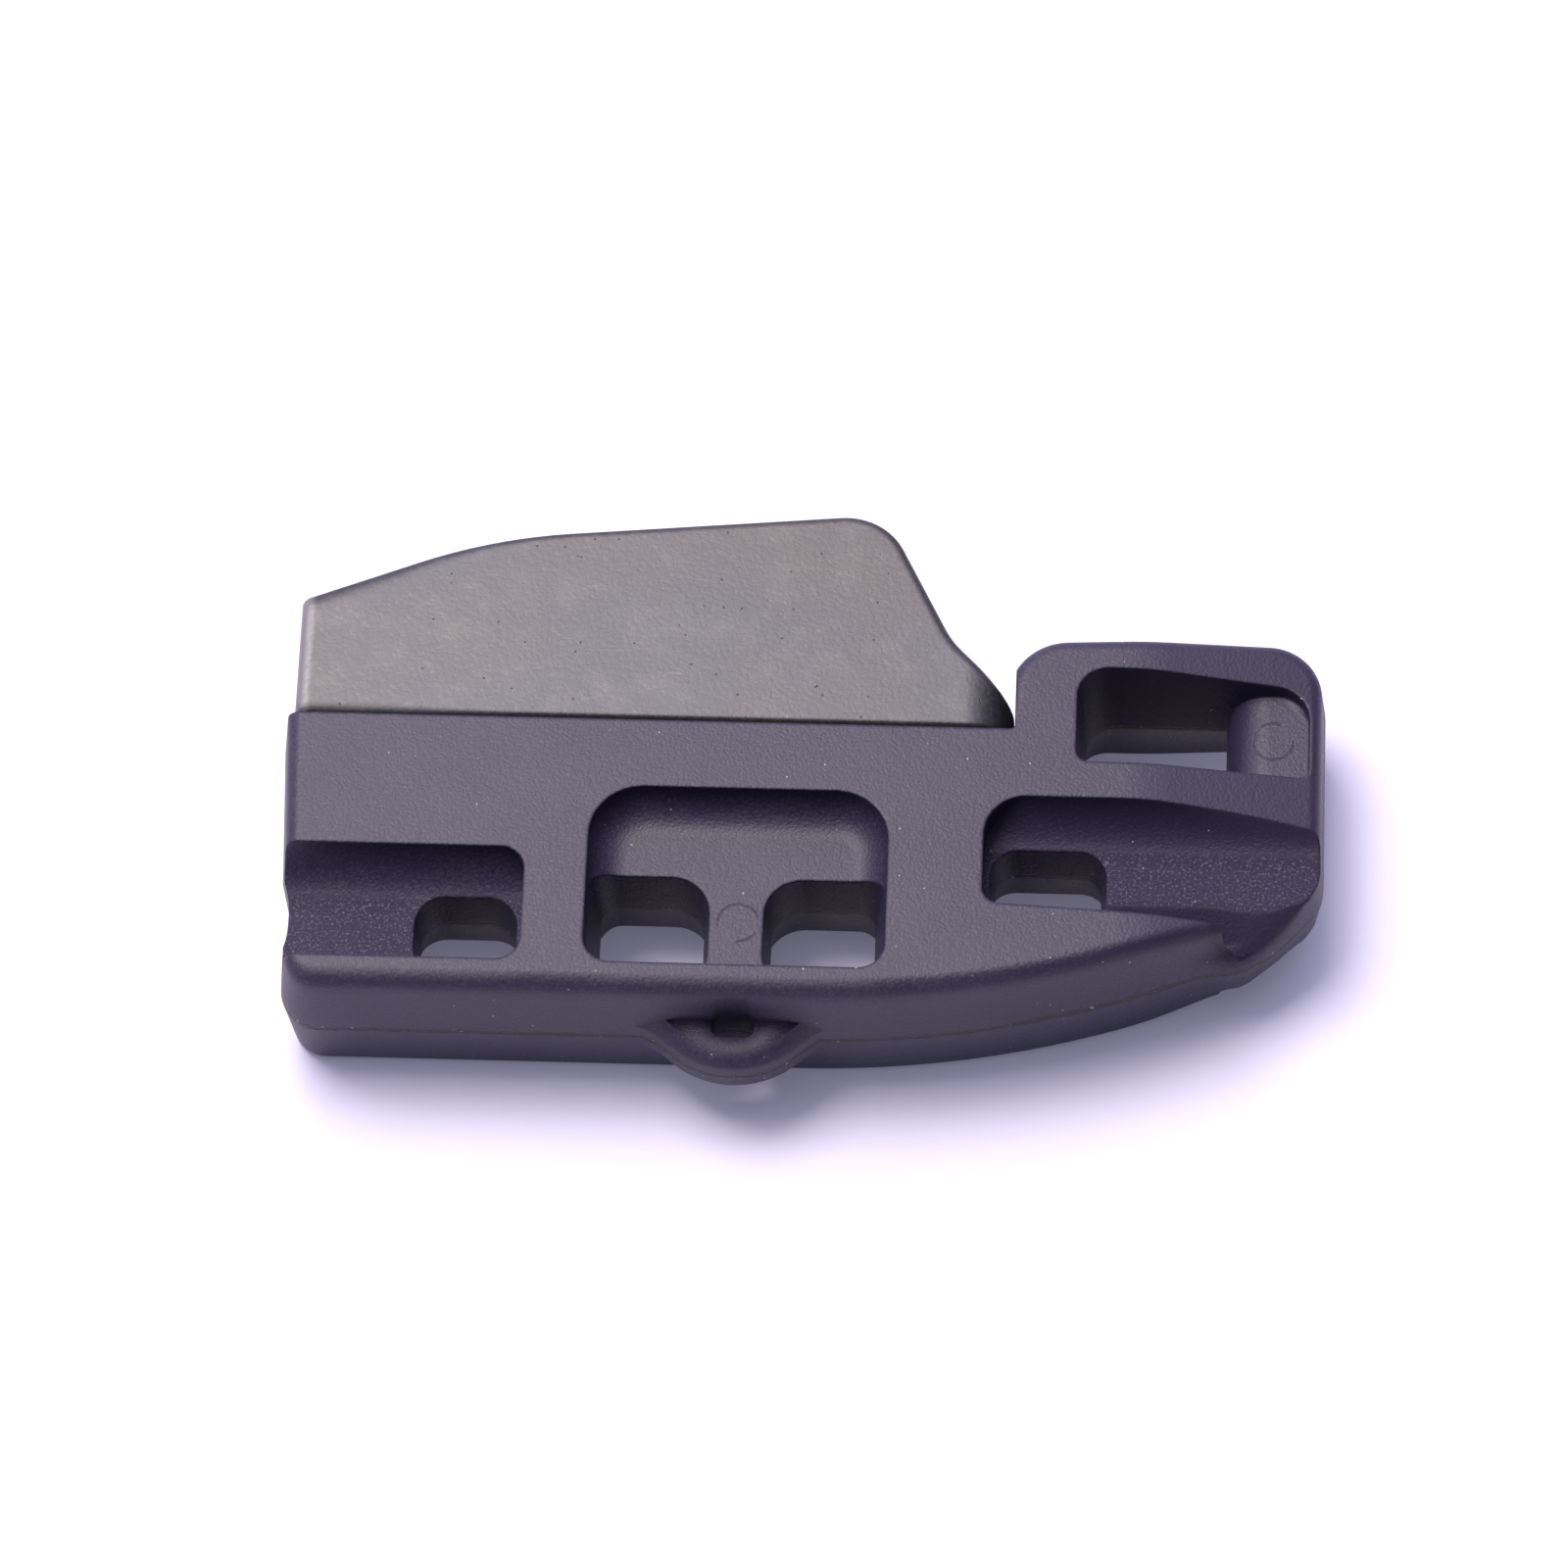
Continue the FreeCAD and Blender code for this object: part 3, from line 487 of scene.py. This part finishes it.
@dataclass(frozen=True)
class TurnedSteel:
    """Stainless steel, cold headed and thread rolled: bright, with fine turning rings round its axis."""

    steel: str = "#c9c7c4"
    smudged: str = "#a39f9a"
    roughness: float = 0.3
    ring_mm: float = 0.35
    smudge_mm: float = 1.25
    relief_mm: float = 0.02  # height of the rings

    def build(self) -> bpy.types.Material:
        """Make the material.

        Returns:
            The finished material.
        """
        material, add = new_material("cold_headed_stainless_steel")
        place = place_in_mm(add)
        rings = add("TexWave", {
            "Vector": place, "Scale": 0.1 / self.ring_mm, "Distortion": 0.4, "Detail": 2.0,
        }, bands_direction="Y").outputs["Fac"]
        smudge = add("TexNoise", {"Vector": place, "Scale": noise_scale(self.smudge_mm), "Detail": 3.0})
        dulled = add("Math", (smudge, 0.35), operation="MULTIPLY")
        colour = layered(add, self.steel, ((dulled, self.smudged),))
        rough = add("Math", (smudge, 0.14, self.roughness - 0.07), operation="MULTIPLY_ADD")
        bump = add("Bump", {"Height": rings, "Strength": 0.25, "Distance": self.relief_mm * MM})
        shader = add("BsdfPrincipled", {
            "Base Color": colour, "Roughness": rough, "Metallic": 1.0, "Normal": bump,
        })
        add("OutputMaterial", {"Surface": shader})
        return material


@dataclass(frozen=True)
class BackdropPaper:
    """White backdrop paper, calendered: matt, with a faint fibre.

    It also glows a little, for the camera and for reflections alone, so that shadows on it stay pale.
    """

    paper: str = "#eeedff"
    glow: str = "#dfdcff"
    glow_strength: float = 0.15
    fibre_mm: float = 0.5556  # drawn ten times as coarse as the real fibre
    relief_mm: float = 0.05  # height of the fibre

    def build(self) -> bpy.types.Material:
        """Make the material.

        Returns:
            The finished material.
        """
        material, add = new_material("white_backdrop_paper")
        place = place_in_mm(add)
        fibre = add("TexNoise", {"Vector": place, "Scale": noise_scale(self.fibre_mm), "Detail": 3.0})
        bump = add("Bump", {"Height": fibre, "Strength": 0.05, "Distance": self.relief_mm * MM})
        path = add("LightPath").outputs
        mirrored = add("Math", (path["Is Glossy Ray"], path["Is Transmission Ray"]), operation="MAXIMUM")
        seen = add("Math", (path["Is Camera Ray"], mirrored), operation="MAXIMUM")
        shader = add("BsdfPrincipled", {
            "Base Color": linear(self.paper), "Roughness": 0.95, "Specular IOR Level": 0.1, "Normal": bump,
            "Emission Color": linear(self.glow),
            "Emission Strength": add("Math", (seen, self.glow_strength), operation="MULTIPLY"),
        })
        add("OutputMaterial", {"Surface": shader})
        return material


def dress(part: Part, material: bpy.types.Material) -> None:
    """Give a solid of the CAD model its finish.

    Args:
        part: Which solid.
        material: The finish.
    """
    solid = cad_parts[part.value]
    if not solid.material_slots:
        solid.data.materials.append(material)
    for slot in solid.material_slots:
        slot.material = material
    LOG.info("%s dressed in %s", part.value, material.name)


def share(value: float) -> float:
    """Keep a number from 0 to 1."""
    return min(1.0, max(0.0, value))


@dataclass(frozen=True)
class Base:
    """The moulded base, whose nose gutter runs out over a thin rolled lip. Its sizes are in mm.

    The CAD solid ends that gutter in an upright edge. Here its floor turns down towards the nose's rim, and
    the end of the rail sweeps down into that rim. The underside keeps its depth longer and thins at the tip.
    """

    finish: MouldedNylon = field(default_factory=MouldedNylon)
    gutter_start: float = 16.5  # left end of the nose gutter
    start_run: float = 3.0  # how far along the gutter the fall takes to set in
    floor_half: float = 4.0  # from the parting plane to the gutter's floor
    crease: float = -10.4  # where the floor starts to fall
    fall: float = 0.74  # how far down for each mm towards the rim
    rim_half: float = 1.55  # half the rim's thickness
    eased: float = 2.5  # how far above the floor the fall dies out
    moves_up_to: float = -7.4  # the line that every moved point keeps below
    under_from: float = 40.4  # where the underside starts to thin towards the rim
    under_run: float = 5.8  # over which it does so
    rail_end: float = 39.0
    sweep: float = 1.6  # how far the rail's foot reaches past its top
    sweep_from: float = 2.5  # before the rail's end, where the sweep begins
    sweep_to: float = 4.5  # after it, where the sweep has died out
    sweep_height: float = 1.8  # above the floor, where the sweep begins
    sweep_curve: float = 1.5  # the power by which it grows from there down
    sweep_below: float = -12.0  # the line that the sweep keeps below, and takes 1 mm to set in
    bulge: tuple[tuple[float, float], ...] = (
        (38.0, 0.0), (39.8, -0.2), (41.5, -0.4), (43.3, -0.4), (44.3, 0.0), (45.1, 0.4), (47.5, 1.0),
    )  # places along the nose, and how far its outline moves across there
    bulge_below: float = -8.0  # the line that the bulge keeps below
    bulge_run: float = 3.0  # over which it sets in
    cut_from: float = 1.5  # before the sweep, where the cuts above the floor begin
    cut_up_to: float = -7.0  # the line that they keep below
    cuts_across: tuple[float, ...] = (-10.1, -10.4, -10.8, -11.6, -12.4, -13.2)
    cuts_along: tuple[float, ...] = (36.6, 37.4, 38.2, 39.0, 39.8, 40.6, 41.4, 42.2, 43.0, 44.2, 45.4)
    cuts_up: tuple[float, ...] = (-5.2, -4.6, -3.0, -1.5, 1.5, 3.0, 4.6, 5.2)  # from the parting plane
    smooth_angle: float = 40.0  # degrees, above which an edge is sharp
    same_facing: float = 0.97  # cosine of the angle up to which a face counts as unturned

    def build(self) -> None:
        """Shape the moulding from its CAD solid and dress it."""
        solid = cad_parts[Part.BASE.value]
        form = bmesh.new()
        form.from_mesh(solid.data)
        bmesh.ops.remove_doubles(form, verts=form.verts, dist=0.001 * MM)
        self.cut(form)
        for corner in form.verts:
            corner.co = self.shaped(corner.co / MM) * MM
        mesh = bpy.data.meshes.new("moulded_base")
        form.to_mesh(mesh)
        form.free()
        mesh.polygons.foreach_set("use_smooth", [True] * len(mesh.polygons))
        mesh.set_sharp_from_angle(angle=math.radians(self.smooth_angle))
        self.keep_normals(solid.data, mesh)
        mesh.materials.clear()
        mesh.materials.append(self.finish.build())
        piece = bpy.data.objects.new("moulded_base", mesh)
        bpy.context.collection.objects.link(piece)
        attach(piece, "root")
        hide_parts(Part.BASE.value)
        LOG.info("moulded base shaped, %d faces", len(mesh.polygons))

    def cut(self, form: bmesh.types.BMesh) -> None:
        """Divide the nose's faces, so that the floor and the rail's end can bend.

        Args:
            form: The mesh that is cut.
        """
        planes = [(Vector((0, y, 0)), Vector((0, 1, 0))) for y in self.cuts_across]
        planes += [(Vector((x, 0, 0)), Vector((1, 0, 0))) for x in self.cuts_along]
        planes += [(Vector((0, 0, PARTING_PLANE + z)), Vector((0, 0, 1))) for z in self.cuts_up]
        for point, direction in planes:
            faces = [face for face in form.faces if self.in_nose(face.calc_center_median() / MM)]
            parts = faces + list({edge for face in faces for edge in face.edges})
            parts += list({corner for face in faces for corner in face.verts})
            bmesh.ops.bisect_plane(form, geom=parts, dist=0.001 * MM, plane_co=point * MM, plane_no=direction)

    def in_nose(self, centre: Vector) -> bool:
        """Whether a face belongs to the nose gutter's floor, the rim round it or the rail's end.

        Args:
            centre: The face's centre, in mm.

        Returns:
            True where it does.
        """
        near_end = centre.x > self.rail_end - self.sweep_from - self.cut_from
        on_floor = abs(centre.z - PARTING_PLANE) < self.floor_half + 0.1 and centre.x > self.gutter_start
        return centre.y < self.cut_up_to and (near_end or on_floor)

    def shaped(self, place: Vector) -> Vector:
        """Move one point of the CAD solid to its place on the moulding, by rules that join without a step.

        Args:
            place: The point, in mm.

        Returns:
            Where it goes, in mm.
        """
        x, y, z = place
        if x < self.gutter_start or y > self.moves_up_to:
            return place
        side = 1.0 if z >= PARTING_PLANE else -1.0
        height = abs(z - PARTING_PLANE)
        above = height - self.floor_half

        past = x - self.rail_end
        reach = 1.0 + past / self.sweep_from if past < 0 else 1.0 - past / self.sweep_to
        low = share(1.0 - above / self.sweep_height)
        moved_x = x + self.sweep * low ** self.sweep_curve * share(reach) * share(self.sweep_below - y)
        moved_y = y + share((self.bulge_below - y) / self.bulge_run) * self.drift(moved_x)

        lost = min(self.floor_half - self.rim_half, max(0.0, self.fall * (self.crease - y)))
        lost *= share((x - self.gutter_start) / self.start_run)
        if side < 0:
            lost *= share((x - self.under_from) / self.under_run)
        height -= lost * (height / self.floor_half if above <= 0 else share(1.0 - above / self.eased))
        return Vector((moved_x, moved_y, PARTING_PLANE + side * height))

    def drift(self, x: float) -> float:
        """How far the outline moves across at a place along the nose, in mm.

        Args:
            x: The place, in mm.

        Returns:
            The distance, in mm.
        """
        for (x0, d0), (x1, d1) in zip(self.bulge, self.bulge[1:]):
            if x0 <= x <= x1:
                return d0 + (d1 - d0) * (x - x0) / (x1 - x0)
        return 0.0 if x < self.bulge[0][0] else self.bulge[-1][1]

    def keep_normals(self, solid: bpy.types.Mesh, mesh: bpy.types.Mesh) -> None:
        """Carry the CAD solid's exact normals over to every corner that stayed where it was.

        Args:
            solid: The CAD solid's mesh.
            mesh: The shaped mesh, which gets them.
        """
        known: dict[tuple[int, ...], list[tuple[Vector, Vector]]] = {}
        for face in solid.polygons:
            for loop in face.loop_indices:
                key = self.key(solid.vertices[solid.loops[loop].vertex_index].co)
                exact = solid.corner_normals[loop].vector.copy()
                known.setdefault(key, []).append((face.normal.copy(), exact))
        normals = [entry.vector.copy() for entry in mesh.corner_normals]
        for face in mesh.polygons:
            for loop in face.loop_indices:
                found = known.get(self.key(mesh.vertices[mesh.loops[loop].vertex_index].co))
                if found:
                    near, exact = max(found, key=lambda pair: pair[0].dot(face.normal))
                    if near.dot(face.normal) > self.same_facing:
                        normals[loop] = exact
        mesh.normals_split_custom_set(normals)

    def key(self, place: Vector) -> tuple[int, ...]:
        """A place rounded to two thousandths of a millimetre."""
        return tuple(round(value / MM * 500) for value in place)


@dataclass(frozen=True)
class Cleat:
    """The cast cleat with its two screws."""

    finish: CastAluminium = field(default_factory=CastAluminium)
    screw_finish: TurnedSteel = field(default_factory=TurnedSteel)

    def build(self) -> None:
        """Dress the casting and its screws."""
        dress(Part.CLEAT, self.finish.build())
        steel = self.screw_finish.build()
        for part in (Part.FRONT_SCREW, Part.REAR_SCREW):
            dress(part, steel)


@dataclass(frozen=True)
class Studio:
    """The white table, the soft box over it and the sky."""

    paper: BackdropPaper = field(default_factory=BackdropPaper)
    floor_size: float = 6.0
    key_place: tuple[float, float, float] = (-0.20, 0.21, 0.76)
    key_size: tuple[float, float] = (0.44, 0.40)
    key_power: float = 6.7  # watts
    key_colour: str = "#fff4ec"
    sky_colour: str = "#dcd7fa"
    sky_from: tuple[float, float, float] = (-0.30, 0.62, 0.72)  # where the sky is brightest
    sky_bright: float = 1.45
    sky_dim: float = 0.10
    sky_edge: float = 0.25  # cosine of the angle from there at which it is dim

    def build(self) -> None:
        """Make the floor, the lamp and the sky."""
        self.floor()
        self.key_lamp()
        self.sky()
        LOG.info("studio ready")

    def floor(self) -> None:
        """Lay a paper sheet under the part."""
        half = self.floor_size / 2
        mesh = bpy.data.meshes.new("backdrop_floor")
        corners = [(-half, -half, 0), (half, -half, 0), (half, half, 0), (-half, half, 0)]
        mesh.from_pydata(corners, [], [(0, 1, 2, 3)])
        mesh.materials.append(self.paper.build())
        sheet = bpy.data.objects.new("backdrop_floor", mesh)
        bpy.context.collection.objects.link(sheet)

    def key_lamp(self) -> None:
        """Hang a soft box that points at the part."""
        light = bpy.data.lights.new("key_lamp", "AREA")
        light.shape = "RECTANGLE"
        light.size, light.size_y = self.key_size
        light.energy = self.key_power
        light.color = linear(self.key_colour)[:3]
        lamp = bpy.data.objects.new("key_lamp", light)
        lamp.location = self.key_place
        lamp.rotation_euler = (-Vector(self.key_place)).to_track_quat("-Z", "Y").to_euler()
        bpy.context.collection.objects.link(lamp)

    def sky(self) -> None:
        """Make a dim sky that is brightest towards a white wall, up behind the part on its tail's side."""
        world = bpy.data.worlds.new("studio_sky")
        world.use_nodes = True
        world.node_tree.nodes.clear()
        add = partial(add_node, world.node_tree)
        towards = add("TexCoord").outputs["Generated"]
        facing = add("VectorMath", (towards, Vector(self.sky_from).normalized()),
                     operation="DOT_PRODUCT").outputs["Value"]
        rise = add("MapRange", (facing, self.sky_edge, 1.0, self.sky_dim, self.sky_bright), **EASED)
        add("OutputWorld", {"Surface": add("Background", (linear(self.sky_colour), rise))})
        bpy.context.scene.world = world


@dataclass(frozen=True)
class View:
    """The photograph's camera: far away, looking steeply down, turned a little to the nose and rolled."""

    elevation: float = 62.5  # degrees, as are the next two
    azimuth: float = 4.5
    roll: float = 2.6
    distance: float = 0.8068
    aim_mm: tuple[float, float, float] = (-1.444, -1.314, 17.0)
    focal_pixels: float = 9000.0  # focal length in pixels of the picture
    picture_width: int = 1600  # pixels
    sensor_mm: float = 36.0

    def build(self) -> None:
        """Place the camera."""
        elevation, azimuth = math.radians(self.elevation), math.radians(self.azimuth)
        roll = math.radians(self.roll)
        level = math.cos(elevation)
        back = Vector((math.sin(azimuth) * level, -math.cos(azimuth) * level, math.sin(elevation)))
        right = Vector((math.cos(azimuth), math.sin(azimuth), 0.0))
        up = back.cross(right)
        rolled_right = right * math.cos(roll) - up * math.sin(roll)
        rolled_up = right * math.sin(roll) + up * math.cos(roll)
        lens = bpy.data.cameras.new("camera")
        lens.lens = self.focal_pixels / self.picture_width * self.sensor_mm
        lens.sensor_width = self.sensor_mm
        lens.clip_start, lens.clip_end = 0.01, 20.0
        camera = bpy.data.objects.new("camera", lens)
        turned = Matrix((rolled_right, rolled_up, back)).transposed().to_4x4()
        camera.matrix_world = Matrix.Translation(Vector(self.aim_mm) * MM + back * self.distance) @ turned
        bpy.context.collection.objects.link(camera)
        bpy.context.scene.camera = camera
        LOG.info("camera placed")


def main() -> None:
    """Build the whole scene."""
    logging.basicConfig(level=logging.INFO, format="%(message)s")
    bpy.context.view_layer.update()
    View().build()
    Base().build()
    Cleat().build()
    Studio().build()
    bpy.context.scene.view_settings.view_transform = "Standard"


if __name__ == "__main__":
    main()
